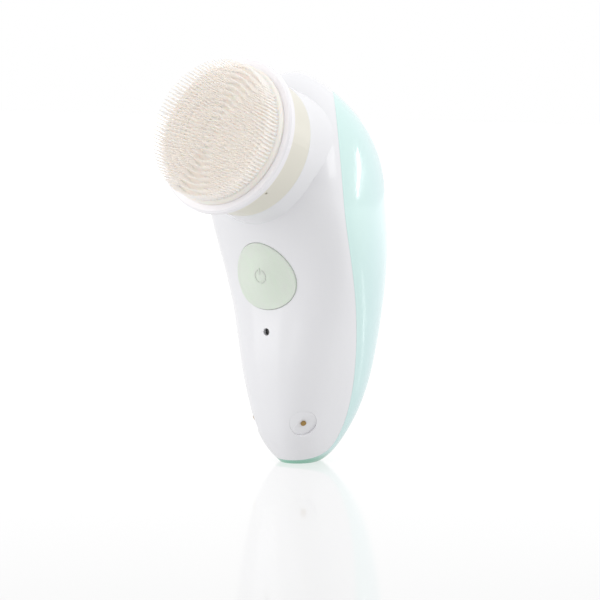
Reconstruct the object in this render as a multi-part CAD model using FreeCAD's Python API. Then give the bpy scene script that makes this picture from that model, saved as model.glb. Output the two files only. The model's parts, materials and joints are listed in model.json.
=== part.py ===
import FreeCAD, Part
import math
import os

from FreeCAD import Placement, Rotation, Vector

# Facial cleansing brush, handheld, modelled standing on its sole.
# Millimetres and degrees. +Z is up, the user side faces -Y, X = 0 is the mirror plane,
# and the origin is the centre of the small flat sole.

# ---------------------------------------------------------------- housing
BODY_HEIGHT = 136.2
WALL = 2.0
SHELL_GAP = 0.04
GASKET = 0.9
GASKET_START = 8.0
# Levels of the housing from sole to crown, spaced like a cosine so both ends close smoothly:
# half width, front y, y of the widest point, back y, front roundness (2 is an ellipse).
BODY_LEVELS = [
    (6.5, -7.5, 0.0, 7.5, 2.0),
    (9.4, -9.6, 1.0, 10.8, 2.1),
    (13.2, -14.5, 3.5, 18.0, 2.4),
    (17.0, -17.5, 5.5, 25.5, 2.5),
    (20.5, -19.0, 4.5, 31.0, 2.5),
    (23.5, -19.0, 1.0, 35.0, 2.4),
    (26.5, -20.5, -5.0, 37.5, 2.2),
    (28.0, -27.0, -11.0, 37.5, 2.0),
    (27.0, -29.2, -12.0, 35.0, 2.3),
    (23.0, -24.6, -9.0, 26.5, 2.3),
    (15.5, -21.5, -5.5, 14.5, 2.0),
    (7.0, -14.5, -3.5, 4.5, 2.0),
    (0.6, -3.6, -3.0, -2.4, 2.0),
]
BACK_ROUNDNESS = 2.1
SECTION_POINTS = 32
SMALLEST_REACH = 0.4
# Side view (y, z) of the joint line between the white front shell and the rear cover.
JOINT_LINE = [
    (18.0, 135.5), (9.0, 131.0), (2.0, 128.6), (-2.5, 125.3), (-6.5, 120.5), (-10.2, 113.0),
    (-12.0, 103.0), (-11.2, 87.0), (-5.3, 69.0), (1.2, 51.0), (4.6, 35.0), (6.0, 20.0),
    (4.8, 9.5), (2.2, 5.0), (-2.0, 2.7), (-7.0, 1.5), (-15.0, 0.8),
]
FAR = 90.0
# Cutting shapes run past the surface they cut by OVER. Bars through the front wall run from
# y = -OUTSIDE to y = INSIDE or to the board.
OVER = 1.0
OUTSIDE = 60.0
INSIDE = -8.0

# ---------------------------------------------------------------- head axis
# "depth" below is always the distance behind the bristle pad's face, along the head axis.
PAD_CENTRE = Vector(0.0, -43.7, 116.5)
HEAD_TILT = 18.6
PAD_R = 24.5
PAD_THICK = 3.4
BRISTLE_LENGTH = 6.4
RIM_R = 27.2
RIM_IN_R = 24.55
RIM_FRONT = 2.4
RIM_BACK = 5.35
PLATE_BACK = 4.9
HUB_R = 6.5
HUB_BORE_R = 4.2
HUB_END = 13.4
INSERT_FRONT = 4.4
INSERT_END = 12.2
HEX_FLATS = 5.16
HEX_CLEARANCE = 0.05
CLIP_FRONT = 12.35
CLIP_END = 13.15
CLIP_IN_R = 3.08
CLIP_OUT_R = 4.1

# ---------------------------------------------------------------- neck
COLLAR_FRONT = 6.0
COLLAR_END = 18.35
COLLAR_R = 24.4
COLLAR_END_R = 23.9
COLLAR_IN_R = 22.2
COLLAR_WEB = 2.0
COLLAR_HOLE_R = 8.5
NECK_START = 18.4
NECK_END = 32.0
NECK_R = 23.9
NECK_ROOT_R = 25.0
NECK_STEPS = 8
NECK_BORE_R = 20.2
STUB_R = 22.1
STUB_FRONT = 8.1
SEAL_GROOVE_R = 21.2
SEAL_GROOVE = (15.0, 16.4)
LEDGE_FRONT = 19.4
LEDGE_BACK = 21.8
LEDGE_IN_R = 16.5
MARK_R = 0.45
MARK_DEPTH = 10.0
MARK_ANGLE = -47.0
MARK_HOLE = 1.4

# ---------------------------------------------------------------- drive train
SPINDLE_R = 3.0
SPINDLE_TIP = 5.0
SPINDLE_END = 38.4
HEX_END = 12.25
RUNNING_CLEARANCE = 0.03
SEAL_FRONT = 14.2
SEAL_BACK = 16.2
SEAL_R = 7.2
BEARING_R = 6.0
FRONT_BEARING = (16.4, 20.4)
REAR_BEARING = (28.6, 32.6)
SNOUT_R = 9.0
SNOUT_FRONT = 14.0
FLANGE_R = 20.0
FLANGE_BACK = 24.0
PLATE_FRONT = 31.0
CAVITY_FRONT = 33.0
COVER_FRONT = 43.4
COVER_BACK = 45.4
GEARBOX_R = 11.6
CAVITY_R = 10.3
GEAR_MODULE = 0.5
PRESSURE_ANGLE = 20.0
SMALL_TEETH = 12
LARGE_TEETH = 38
TOOTH_SHIFT = 0.3
BACKLASH = 0.08
GEAR_OFFSET = 12.5
SLOW_MESH = (34.0, 38.0)
FAST_MESH = (39.0, 42.0)
IDLER_R = 1.0
IDLER_HUB_R = 1.9
END_PLAY = 0.2
IDLER_FRONT = 31.4
IDLER_END = 45.0
FLANGE_SCREW_R = 18.0
SCREW_HEAD_R = 1.7
SCREW_SHANK_R = 1.0

# ---------------------------------------------------------------- motor
MOTOR_R = 10.2
MOTOR_FRONT = 45.5
MOTOR_BACK = 68.0
MOTOR_WALL = 0.8
MOTOR_CAP_END = 70.4
MOTOR_BOSS_R = 3.0
MOTOR_SHAFT_R = 1.0
MOTOR_SHAFT_FRONT = 38.8
MOTOR_SHAFT_END = 71.4
ARMATURE = (49.0, 64.0)
ARMATURE_R = 7.0
MAGNET_IN_R = 7.5
MOTOR_SCREW_R = 7.0
MAGNET_SPLIT = 3.0
TERMINAL_X = 6.0
TERMINAL_WIDTH = 2.2
TERMINAL_THICK = 0.6
TERMINAL_OUT = 2.0
TERMINAL_IN = 2.6
CORE_R = 2.4
CORE_PAST = 0.5
COMMUTATOR_R = 2.6
COMMUTATOR_GAP = 0.8
POLE_COUNT = 3
POLE_WIDTH = 2.0
SHOE_IN_R = 5.0
SHOE_ANGLE = 90.0

# ---------------------------------------------------------------- controls
BUTTON_Z = 66.6
BUTTON_WIDTH = 25.4
BUTTON_HEIGHT = 23.6
BUTTON_PROUD = 0.5
BUTTON_GAP = 0.12
BUTTON_DEPTH = 2.9
BUTTON_LIP = 1.0
LIP_GAP = 0.15
BUTTON_EDGE_Y = -19.0
BUTTON_EDGE = 0.4
BUTTON_SWELL = 2.0
EGG_TAPER = 0.10
EGG_POINTS = 24
FIELD_HALF = 14.5
FIELD_STEPS = 14
FRAME_MARGIN = 2.2
SYMBOL_R = 2.2
SYMBOL_LINE = 0.5
SYMBOL_PROUD = 0.16
PLUNGER_R = 1.7
PLUNGER_TIP = -17.0
BUTTON_CLEARANCE = 0.1
INDICATOR_Z = 47.2
INDICATOR_HOLE_R = 1.3
INDICATOR_R = 1.22
INDICATOR_RECESS = 1.2

# ---------------------------------------------------------------- inside
BOARD_FRONT = -12.6
BOARD_BACK = -11.4
BOARD_HALF = 10.0
BOARD_Z = (31.0, 84.0)
FRAME_FRONT = -9.6
FRAME_BACK = -7.8
FRAME_HALF = 11.5
FRAME_Z = (24.0, 86.0)
FRAME_EARS = [(10.0, 27.0), (16.5, 80.0)]
EAR_R = 3.2
BOSS_R = 2.5
BOSS_HOLE = 4.0
BOARD_POSTS = [(7.5, 35.0), (7.5, 80.5)]
BATTERY_Y = 18.0
BATTERY_R = 9.1
BATTERY_Z = (31.0, 81.0)
CLIP_LEVELS = [36.0, 66.0]
CLIP_HEIGHT = 8.0
CLIP_WALL = 1.6
CLIP_OPENING = 3.5
CLIP_ARM = 6.0
CELL_CAP_R = 2.8
CELL_CAP = 1.0
TAB = Vector(4.0, 9.0, 0.3)
TAB_REACH = 7.0
BOARD_POST_R = 2.2
BOARD_SCREW_R = 0.8
BOARD_SCREW_HEAD_R = 1.5
BOARD_SCREW_HEAD = 0.9
SCREW_HEAD = 1.3
SCREW_SLOT = 0.5
SWITCH_SIZE = 6.0
SWITCH_DEPTH = 3.2
LED = Vector(2.6, 1.8, 2.0)
# Parts on the board's front: x, z, width, height, thickness.
BOARD_CHIPS = [
    (-4.5, 57.0, 4.0, 5.0, 1.2), (4.0, 56.5, 5.0, 4.0, 1.0), (-4.5, 41.0, 3.0, 3.0, 1.0),
    (4.5, 40.0, 3.4, 2.6, 1.6), (0.0, 36.5, 6.0, 2.6, 1.4), (-6.0, 73.0, 2.4, 3.2, 1.1),
    (6.0, 73.0, 2.4, 1.6, 0.9), (5.8, 62.0, 1.6, 0.9, 0.6), (-5.8, 64.0, 1.6, 0.9, 0.6),
    (4.6, 47.5, 1.6, 0.9, 0.6),
]
LEAD_R = 0.6
LEAD_BEND = 3.0
MOTOR_LEAD_ROUTE = [
    (14.0, 18.0, 76.0), (14.6, 4.0, 66.0), (14.0, -8.0, 63.0), (11.3, -13.2, 60.6),
    (8.2, -13.2, 58.0),
]

# ---------------------------------------------------------------- charging contacts
CONTACT_POINT = Vector(10.8, -12.1, 15.5)
CONTACT_OUT = Vector(0.77, -0.46, -0.48)
CONTACT_RING_R = 4.7
CONTACT_WELL_R = 4.75
CONTACT_DIMPLE = 0.35
CONTACT_PIN_R = 0.95
CONTACT_PIN_LENGTH = 5.5
CONTACT_PIN_PROUD = 0.15
CONTACT_FOOT_R = 1.6
CONTACT_FOOT_DEPTH = 3.2
CONTACT_REACH = 8.0
CONTACT_BACK = 4.0
CONTACT_LEAD_R = 0.45
CONTACT_LEAD_BEND = 1.2
CONTACT_LEAD_ROUTE = [(3.4, -11.6, 24.5), (3.6, -13.05, 29.5), (3.6, -13.05, 33.5)]

FORMS = {}


def level_height(index):
    """Height of a housing level, spaced like a cosine between sole and crown."""
    share = index / (len(BODY_LEVELS) - 1.0)
    return BODY_HEIGHT * (1.0 - math.cos(math.pi * share)) / 2.0


def section_wire(z, half_width, front, widest, back, roundness):
    """Closed smooth outline of the housing at one height."""
    points = []
    for k in range(SECTION_POINTS):
        angle = math.pi / 2.0 + 2.0 * math.pi * k / SECTION_POINTS
        c = math.cos(angle)
        s = math.sin(angle)
        power = 2.0 / (BACK_ROUNDNESS if s > 0 else roundness)
        reach = (back - widest) if s > 0 else (widest - front)
        x = half_width * math.copysign(abs(c) ** power, c)
        y = widest + reach * math.copysign(abs(s) ** power, s)
        points.append(Vector(x, y, z))
    curve = Part.BSplineCurve()
    curve.interpolate(Points=points, PeriodicFlag=True)
    return Part.Wire([curve.toShape()])


def body_form(inset):
    """Solid of the housing's outer shape, shrunk inwards by the inset."""
    if inset in FORMS:
        return FORMS[inset]
    wires = []
    for index, (half_width, front, widest, back, roundness) in enumerate(BODY_LEVELS):
        z = inset + (BODY_HEIGHT - 2.0 * inset) * level_height(index) / BODY_HEIGHT
        half = max(half_width - inset, SMALLEST_REACH)
        front_reach = max(widest - front - inset, SMALLEST_REACH)
        back_reach = max(back - widest - inset, SMALLEST_REACH)
        wires.append(section_wire(z, half, widest - front_reach, widest, widest + back_reach,
                                  roundness))
    FORMS[inset] = Part.makeLoft(wires, True, False, False)
    return FORMS[inset]


def skin(outer_inset, inner_inset):
    """Layer of the housing between two insets."""
    return body_form(outer_inset).cut(body_form(inner_inset))


def joint_region(side, gap):
    """Everything in front of (side -1) or behind (side +1) the joint line, less a gap."""
    points = [Vector(-FAR, y + side * gap, z) for y, z in JOINT_LINE]
    curve = Part.BSplineCurve()
    curve.interpolate(points)
    top = points[0]
    bottom = points[-1]
    far_y = side * 2.0 * FAR
    corners = [bottom, Vector(-FAR, bottom.y, -FAR), Vector(-FAR, far_y, -FAR),
               Vector(-FAR, far_y, 2.0 * FAR), Vector(-FAR, top.y, 2.0 * FAR), top]
    edges = [curve.toShape()]
    for start, end in zip(corners[:-1], corners[1:]):
        edges.append(Part.LineSegment(start, end).toShape())
    return Part.Face(Part.Wire(edges)).extrude(Vector(2.0 * FAR, 0, 0))


def on_head_axis(shape):
    """Place a shape drawn about Z, with +Z pointing out of the brush face, on the head axis."""
    shape = shape.copy()
    turn = Rotation(Vector(1, 0, 0), 90.0 - HEAD_TILT)
    shape.Placement = Placement(PAD_CENTRE, turn).multiply(shape.Placement)
    return shape


def head_direction():
    """Unit vector out of the brush face."""
    tilt = math.radians(HEAD_TILT)
    return Vector(0, -math.cos(tilt), math.sin(tilt))


def lathe(profile):
    """Turned part about the head axis, from (radius, depth) points."""
    points = [Vector(radius, 0, -depth) for radius, depth in profile]
    face = Part.Face(Part.makePolygon(points + [points[0]]))
    return on_head_axis(face.revolve(Vector(0, 0, 0), Vector(0, 0, 1), 360))


def tube(outer_r, inner_r, front, back, x=0.0, up=0.0):
    """Straight ring along the head axis between two depths, off the axis by (x, up)."""
    solid = Part.makeCylinder(outer_r, back - front, Vector(x, up, -back))
    if inner_r > 0:
        solid = solid.cut(Part.makeCylinder(inner_r, back - front, Vector(x, up, -back)))
    return on_head_axis(solid)


def rounded(solid, radius, test):
    """Round the edges picked by the test."""
    edges = [edge for edge in solid.Edges if test(edge)]
    return solid.makeFillet(radius, edges)


def circle_at_depth(edge, radius, depth):
    """True for a round edge of this radius lying at this depth on the head axis."""
    if not hasattr(edge.Curve, "Radius") or abs(edge.Curve.Radius - radius) > 0.02:
        return False
    centre = PAD_CENTRE - head_direction() * depth
    return (edge.Curve.Center - centre).Length < 0.05


def mirrored(shape):
    """The same piece on the other side of the mirror plane."""
    return shape.mirror(Vector(0, 0, 0), Vector(1, 0, 0))


def hexagon(flats, front, back):
    """Hexagonal bar on the head axis."""
    radius = flats / math.sqrt(3.0)
    points = []
    for k in range(7):
        angle = math.radians(60.0 * k)
        points.append(Vector(radius * math.cos(angle), radius * math.sin(angle), -back))
    face = Part.Face(Part.makePolygon(points))
    return on_head_axis(face.extrude(Vector(0, 0, back - front)))


def involute(angle):
    return math.tan(angle) - angle


def gear_bar(teeth, shift, front, back, up):
    """Spur gear with involute teeth, one tooth pointing along +X, between two depths."""
    pitch_r = GEAR_MODULE * teeth / 2.0
    base_r = pitch_r * math.cos(math.radians(PRESSURE_ANGLE))
    tip_r = pitch_r + GEAR_MODULE * (1.0 + shift)
    root_r = pitch_r - GEAR_MODULE * (1.25 - shift)
    slope = math.tan(math.radians(PRESSURE_ANGLE))
    half_tooth = (math.pi / 2.0 + 2.0 * shift * slope) / teeth - BACKLASH / (4.0 * pitch_r)
    start_r = max(base_r, root_r)
    radii = [start_r + (tip_r - start_r) * k / 5.0 for k in range(6)]
    flank = []
    for radius in radii:
        roll = math.acos(min(1.0, base_r / radius))
        angle = half_tooth + involute(math.radians(PRESSURE_ANGLE)) - involute(roll)
        flank.append((radius, angle))

    def spot(radius, angle):
        return Vector(radius * math.cos(angle), up + radius * math.sin(angle), -back)

    edges = []
    step = 2.0 * math.pi / teeth
    for k in range(teeth):
        middle = step * k
        rising = [spot(r, middle - a) for r, a in flank]
        falling = [spot(r, middle + a) for r, a in reversed(flank)]
        root_angle = flank[0][1]
        foot_in = spot(root_r, middle - root_angle)
        foot_out = spot(root_r, middle + root_angle)
        next_foot = spot(root_r, middle + step - root_angle)
        mid_root = spot(root_r, middle + step / 2.0)
        if start_r > root_r + 0.001:
            edges.append(Part.LineSegment(foot_in, rising[0]).toShape())
        side = Part.BSplineCurve()
        side.interpolate(rising)
        edges.append(side.toShape())
        edges.append(Part.Arc(rising[-1], spot(tip_r, middle), falling[0]).toShape())
        side = Part.BSplineCurve()
        side.interpolate(falling)
        edges.append(side.toShape())
        if start_r > root_r + 0.001:
            edges.append(Part.LineSegment(falling[-1], foot_out).toShape())
        edges.append(Part.Arc(foot_out, mid_root, next_foot).toShape())
    face = Part.Face(Part.Wire(edges))
    return on_head_axis(face.extrude(Vector(0, 0, back - front)))


def bent_tube(points, radius, bend):
    """Round lead along straight runs joined by tangent arcs."""
    edges = []
    start = points[0]
    for before, corner, after in zip(points[:-2], points[1:-1], points[2:]):
        into = (corner - before).normalize()
        out = (after - corner).normalize()
        turn = into.getAngle(out)
        reach = bend * math.tan(turn / 2.0)
        first = corner - into * reach
        last = corner + out * reach
        inward = (out - into).normalize()
        centre_gap = bend / math.cos(turn / 2.0) - bend
        middle = corner + inward * centre_gap
        edges.append(Part.LineSegment(start, first).toShape())
        edges.append(Part.Arc(first, middle, last).toShape())
        start = last
    edges.append(Part.LineSegment(start, points[-1]).toShape())
    path = Part.Wire(edges)
    heading = (points[1] - points[0]).normalize()
    ring = Part.Wire([Part.makeCircle(radius, points[0], heading)])
    return path.makePipeShell([ring], True, False)


def egg_bar(grow, y_from, y_to):
    """Bar along Y with the button's egg outline, grown by a margin."""
    points = []
    for k in range(EGG_POINTS):
        angle = 2.0 * math.pi * k / EGG_POINTS
        width = BUTTON_WIDTH / 2.0 + grow
        height = BUTTON_HEIGHT / 2.0 + grow
        x = width * math.cos(angle) * (1.0 - EGG_TAPER * math.sin(angle))
        z = BUTTON_Z + height * math.sin(angle)
        points.append(Vector(x, y_from, z))
    curve = Part.BSplineCurve()
    curve.interpolate(Points=points, PeriodicFlag=True)
    return Part.Face(Part.Wire([curve.toShape()])).extrude(Vector(0, y_to - y_from, 0))


def y_cylinder(radius, x, z, y_from, y_to):
    """Cylinder along Y."""
    return Part.makeCylinder(radius, y_to - y_from, Vector(x, y_from, z), Vector(0, 1, 0))


def contact_cylinder(radius, out, inward):
    """Cylinder on the right charging contact's axis."""
    axis = Vector(CONTACT_OUT).normalize()
    start = CONTACT_POINT + axis * out
    return Part.makeCylinder(radius, out + inward, start, axis.negative())


def frame_screw_places():
    places = []
    for x, z in FRAME_EARS:
        places.append((x, z))
        places.append((-x, z))
    return places


def board_screw_places():
    places = []
    for x, z in BOARD_POSTS:
        places.append((x, z))
        places.append((-x, z))
    return places


def flange_screw_places():
    """Three (x, up) places round the flange, clear of the gear case."""
    places = []
    for degrees in (30.0, 150.0, 270.0):
        angle = math.radians(degrees)
        places.append((FLANGE_SCREW_R * math.cos(angle), FLANGE_SCREW_R * math.sin(angle)))
    return places


# ================================================================ housing pieces
def neck_flare():
    """Round neck that widens smoothly from the collar into the housing."""
    points = []
    for k in range(NECK_STEPS + 1):
        share = k / float(NECK_STEPS)
        swell = share * share * (3.0 - 2.0 * share)
        radius = NECK_R + (NECK_ROOT_R - NECK_R) * swell
        depth = NECK_START + (NECK_END - NECK_START) * share
        points.append(Vector(radius, 0, -depth))
    flank = Part.BSplineCurve()
    flank.interpolate(points)
    foot = Vector(0, 0, -NECK_END)
    top = Vector(0, 0, -NECK_START)
    edges = [Part.LineSegment(top, points[0]).toShape(), flank.toShape(),
             Part.LineSegment(points[-1], foot).toShape(), Part.LineSegment(foot, top).toShape()]
    face = Part.Face(Part.Wire(edges))
    return on_head_axis(face.revolve(Vector(0, 0, 0), Vector(0, 0, 1), 360))


def outer_form():
    """Housing shape with the round neck grown out of it."""
    return body_form(0.0).fuse(neck_flare())


def front_shell():
    shell = outer_form().cut(body_form(WALL))
    shell = shell.common(joint_region(-1, SHELL_GAP))
    shell = shell.fuse(tube(STUB_R, 0, STUB_FRONT, NECK_START + OVER))
    shell = shell.cut(tube(NECK_BORE_R, 0, STUB_FRONT - OVER, NECK_END))
    shell = shell.cut(tube(STUB_R + OVER, SEAL_GROOVE_R, SEAL_GROOVE[0], SEAL_GROOVE[1]))
    ledge = tube(NECK_BORE_R + OVER, LEDGE_IN_R, LEDGE_FRONT, LEDGE_BACK)
    for x, up in flange_screw_places():
        ledge = ledge.cut(tube(SCREW_SHANK_R, 0, LEDGE_FRONT - OVER, LEDGE_BACK + OVER, x, up))
    shell = shell.fuse(ledge)
    for x, z in frame_screw_places():
        post = y_cylinder(BOSS_R, x, z, -OUTSIDE, FRAME_FRONT)
        shell = shell.fuse(post.common(body_form(WALL / 2.0)))
    for x, z in frame_screw_places():
        shell = shell.cut(y_cylinder(SCREW_SHANK_R, x, z, FRAME_FRONT - BOSS_HOLE, FRAME_FRONT + OVER))
    shell = shell.cut(egg_bar(0.0, -OUTSIDE, BOARD_FRONT))
    shell = shell.cut(y_cylinder(INDICATOR_HOLE_R, 0, INDICATOR_Z, -OUTSIDE, BOARD_FRONT))
    well = contact_cylinder(CONTACT_WELL_R, CONTACT_REACH, CONTACT_BACK)
    shell = shell.cut(well)
    shell = shell.cut(mirrored(well))
    return shell


def rear_cover():
    cover = skin(0.0, WALL)
    return cover.common(joint_region(1, SHELL_GAP))


def shell_gasket():
    """Soft lip on the inside of the joint, following it all the way round."""
    band = skin(WALL, WALL + GASKET)
    band = band.common(joint_region(1, -GASKET))
    band = band.common(joint_region(-1, -GASKET))
    foot = Part.makeBox(FAR, FAR, GASKET_START, Vector(-FAR / 2.0, -FAR / 2.0, 0))
    return band.cut(foot)


def neck_collar():
    """Cream sleeve round the neck, with the web that closes its front."""
    collar = lathe([
        (COLLAR_HOLE_R, COLLAR_FRONT), (COLLAR_R, COLLAR_FRONT),
        (COLLAR_END_R, COLLAR_END), (COLLAR_IN_R, COLLAR_END),
        (COLLAR_IN_R, COLLAR_FRONT + COLLAR_WEB), (COLLAR_HOLE_R, COLLAR_FRONT + COLLAR_WEB),
    ])
    collar = rounded(collar, 0.7, lambda e: circle_at_depth(e, COLLAR_R, COLLAR_FRONT))
    hole = Part.makeCylinder(MARK_R, 2.0 * MARK_HOLE, Vector(COLLAR_R - MARK_HOLE, 0, -MARK_DEPTH),
                             Vector(1, 0, 0))
    hole.rotate(Vector(0, 0, 0), Vector(0, 0, 1), MARK_ANGLE)
    return collar.cut(on_head_axis(hole))


def collar_seal():
    """Square ring in the neck stub's groove, sealing against the collar."""
    return tube(COLLAR_IN_R, SEAL_GROOVE_R, SEAL_GROOVE[0] + 0.05, SEAL_GROOVE[1] - 0.05)


# ================================================================ brush head
def head_carrier():
    """White rim, plate and hub of the removable head."""
    body = lathe([
        (0.0, PAD_THICK), (RIM_IN_R, PAD_THICK), (RIM_IN_R, RIM_FRONT), (RIM_R - 0.7, RIM_FRONT),
        (RIM_R, RIM_FRONT + 0.7), (RIM_R, RIM_BACK - 0.5), (RIM_R - 0.5, RIM_BACK),
        (RIM_IN_R - 1.0, RIM_BACK), (RIM_IN_R - 1.4, PLATE_BACK), (HUB_R, PLATE_BACK),
        (HUB_R, HUB_END), (HUB_BORE_R, HUB_END), (HUB_BORE_R, INSERT_FRONT), (0.0, INSERT_FRONT),
    ])
    return body


def bristle_pad():
    """Soft disc that the bristles grow from."""
    return tube(PAD_R, 0, 0.0, PAD_THICK)


def bristles():
    """Plain envelope of the bristle field."""
    return tube(PAD_R - 0.5, 0, -BRISTLE_LENGTH, -0.02)


def hub_insert():
    insert = tube(HUB_BORE_R, 0, INSERT_FRONT, INSERT_END)
    bore = hexagon(HEX_FLATS + 2.0 * HEX_CLEARANCE, INSERT_FRONT + 0.2, INSERT_END + 1.0)
    return insert.cut(bore)


def head_clip():
    """Open spring ring that grips the spindle."""
    ring = tube(CLIP_OUT_R, CLIP_IN_R, CLIP_FRONT, CLIP_END)
    slot = on_head_axis(Part.makeBox(6.0, 1.6, 4.0, Vector(0, -0.8, -CLIP_END - 1.0)))
    return ring.cut(slot)


# ================================================================ drive train
def spindle():
    shaft = tube(SPINDLE_R, 0, HEX_END, SPINDLE_END)
    return shaft.fuse(hexagon(HEX_FLATS, SPINDLE_TIP, HEX_END))


def shaft_seal():
    return tube(SEAL_R, SPINDLE_R + RUNNING_CLEARANCE, SEAL_FRONT, SEAL_BACK)


def bearing(span):
    return tube(BEARING_R, SPINDLE_R + RUNNING_CLEARANCE, span[0], span[1])


def output_gear():
    gear = gear_bar(LARGE_TEETH, -TOOTH_SHIFT, SLOW_MESH[0], SLOW_MESH[1], 0.0)
    return gear.cut(tube(SPINDLE_R, 0, SLOW_MESH[0] - OVER, SLOW_MESH[1] + OVER))


def compound_gear():
    small = gear_bar(SMALL_TEETH, TOOTH_SHIFT, SLOW_MESH[0], FAST_MESH[0], GEAR_OFFSET)
    large = gear_bar(LARGE_TEETH, -TOOTH_SHIFT, FAST_MESH[0], FAST_MESH[1], GEAR_OFFSET)
    front = CAVITY_FRONT + END_PLAY
    hub = tube(IDLER_HUB_R, 0, front, COVER_FRONT - END_PLAY, 0.0, GEAR_OFFSET)
    whole = small.fuse(large).fuse(hub)
    bore = tube(IDLER_R + RUNNING_CLEARANCE, 0, PLATE_FRONT, COVER_BACK, 0.0, GEAR_OFFSET)
    return whole.cut(bore)


def idler_pin():
    return tube(IDLER_R, 0, IDLER_FRONT, IDLER_END, 0.0, GEAR_OFFSET)


def figure_eight(radius, front, back):
    """Two joined round bars, one on the head axis and one on the idler axis."""
    bars = tube(radius, 0, front, back)
    bars = bars.fuse(tube(radius, 0, front, back, 0.0, GEAR_OFFSET))
    web = Part.makeBox(2.0 * radius, GEAR_OFFSET, back - front, Vector(-radius, 0, -back))
    return bars.fuse(on_head_axis(web)).removeSplitter()


def gearbox_housing():
    case = figure_eight(GEARBOX_R, PLATE_FRONT, COVER_FRONT)
    case = case.cut(figure_eight(CAVITY_R, CAVITY_FRONT, COVER_FRONT + OVER))
    case = case.fuse(tube(SNOUT_R, 0, SNOUT_FRONT, PLATE_FRONT + 0.5))
    case = case.fuse(tube(FLANGE_R, 0, LEDGE_BACK, FLANGE_BACK))
    case = case.cut(tube(SEAL_R, 0, SNOUT_FRONT - OVER, SEAL_BACK))
    case = case.cut(tube(SPINDLE_R + 0.8, 0, SNOUT_FRONT, CAVITY_FRONT + OVER))
    case = case.cut(tube(BEARING_R, 0, SEAL_BACK - 0.5, FRONT_BEARING[1]))
    case = case.cut(tube(BEARING_R, 0, REAR_BEARING[0], CAVITY_FRONT + 0.5))
    case = case.cut(tube(IDLER_R, 0, IDLER_FRONT, COVER_FRONT, 0.0, GEAR_OFFSET))
    for x, up in flange_screw_places():
        case = case.cut(tube(SCREW_SHANK_R + 0.1, 0, LEDGE_BACK - OVER, FLANGE_BACK + OVER, x, up))
    return case.removeSplitter()


def gearbox_cover():
    cover = figure_eight(GEARBOX_R, COVER_FRONT, COVER_BACK)
    cover = cover.cut(tube(MOTOR_BOSS_R, 0, COVER_FRONT - OVER, COVER_BACK + OVER))
    cover = cover.cut(tube(IDLER_R, 0, COVER_FRONT - OVER, IDLER_END, 0.0, GEAR_OFFSET))
    for x in (-MOTOR_SCREW_R, MOTOR_SCREW_R):
        cover = cover.cut(tube(SCREW_SHANK_R, 0, COVER_FRONT - OVER, COVER_BACK + OVER, x, 0.0))
    return cover


def screw_on_axis(x, up, head_front, head_back, tip):
    """Screw parallel to the head axis, its head between two depths."""
    head = tube(SCREW_HEAD_R, 0, head_front, head_back, x, up)
    edge = head_back if tip > head_back else head_front
    low = min(edge, tip)
    high = max(edge, tip)
    screw = head.fuse(tube(SCREW_SHANK_R, 0, low, high, x, up))
    near = head_front if tip > head_back else head_back
    slot_from = near if tip > head_back else near - 0.6
    slot = Part.makeBox(2.4, 0.5, 0.6, Vector(x - 1.2, up - 0.25, -slot_from - 0.6))
    cross = Part.makeBox(0.5, 2.4, 0.6, Vector(x - 0.25, up - 1.2, -slot_from - 0.6))
    return screw.cut(on_head_axis(slot)).cut(on_head_axis(cross))


def gearbox_screws():
    return Part.makeCompound([
        screw_on_axis(x, up, FLANGE_BACK, FLANGE_BACK + SCREW_HEAD, LEDGE_FRONT + 0.3)
        for x, up in flange_screw_places()])


def motor_screws():
    return Part.makeCompound([
        screw_on_axis(x, 0.0, COVER_FRONT - 1.2, COVER_FRONT, MOTOR_FRONT + MOTOR_WALL)
        for x in (-MOTOR_SCREW_R, MOTOR_SCREW_R)])


# ================================================================ motor
def motor_can():
    can = tube(MOTOR_R, 0, MOTOR_FRONT, MOTOR_BACK)
    can = can.cut(tube(MOTOR_R - MOTOR_WALL, 0, MOTOR_FRONT + MOTOR_WALL, MOTOR_BACK + OVER))
    can = can.fuse(tube(MOTOR_BOSS_R, 0, MOTOR_FRONT - 1.6, MOTOR_FRONT + 0.2))
    can = can.cut(tube(MOTOR_SHAFT_R + RUNNING_CLEARANCE, 0, MOTOR_FRONT - 3.0, MOTOR_FRONT + 3.0))
    for x in (-MOTOR_SCREW_R, MOTOR_SCREW_R):
        can = can.cut(tube(SCREW_SHANK_R, 0, MOTOR_FRONT - 1.0, MOTOR_FRONT + 2.0, x, 0.0))
    return can


def motor_magnets():
    ring = tube(MOTOR_R - MOTOR_WALL, MAGNET_IN_R, ARMATURE[0], ARMATURE[1])
    length = ARMATURE[1] - ARMATURE[0] + 2.0 * OVER
    corner = Vector(-MAGNET_SPLIT / 2.0, -2.0 * MOTOR_R, -ARMATURE[1] - OVER)
    split = Part.makeBox(MAGNET_SPLIT, 4.0 * MOTOR_R, length, corner)
    return ring.cut(on_head_axis(split))


def motor_end_cap():
    cap = tube(MOTOR_R, 0, MOTOR_BACK, MOTOR_CAP_END)
    cap = cap.cut(tube(MOTOR_SHAFT_R + RUNNING_CLEARANCE, 0, MOTOR_BACK - OVER, MOTOR_CAP_END + OVER))
    for x in (-TERMINAL_X, TERMINAL_X):
        cap = cap.cut(terminal_bar(x, MOTOR_CAP_END + OVER))
    return cap


def terminal_bar(x, end):
    """Flat bar of a motor terminal, from inside the can to a depth."""
    length = end - MOTOR_CAP_END + TERMINAL_IN
    corner = Vector(x - TERMINAL_THICK / 2.0, -TERMINAL_WIDTH / 2.0, -end)
    return on_head_axis(Part.makeBox(TERMINAL_THICK, TERMINAL_WIDTH, length, corner))


def motor_terminals():
    tabs = [terminal_bar(x, MOTOR_CAP_END + TERMINAL_OUT) for x in (-TERMINAL_X, TERMINAL_X)]
    return Part.makeCompound(tabs)


def motor_shaft():
    return tube(MOTOR_SHAFT_R, 0, MOTOR_SHAFT_FRONT, MOTOR_SHAFT_END)


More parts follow.
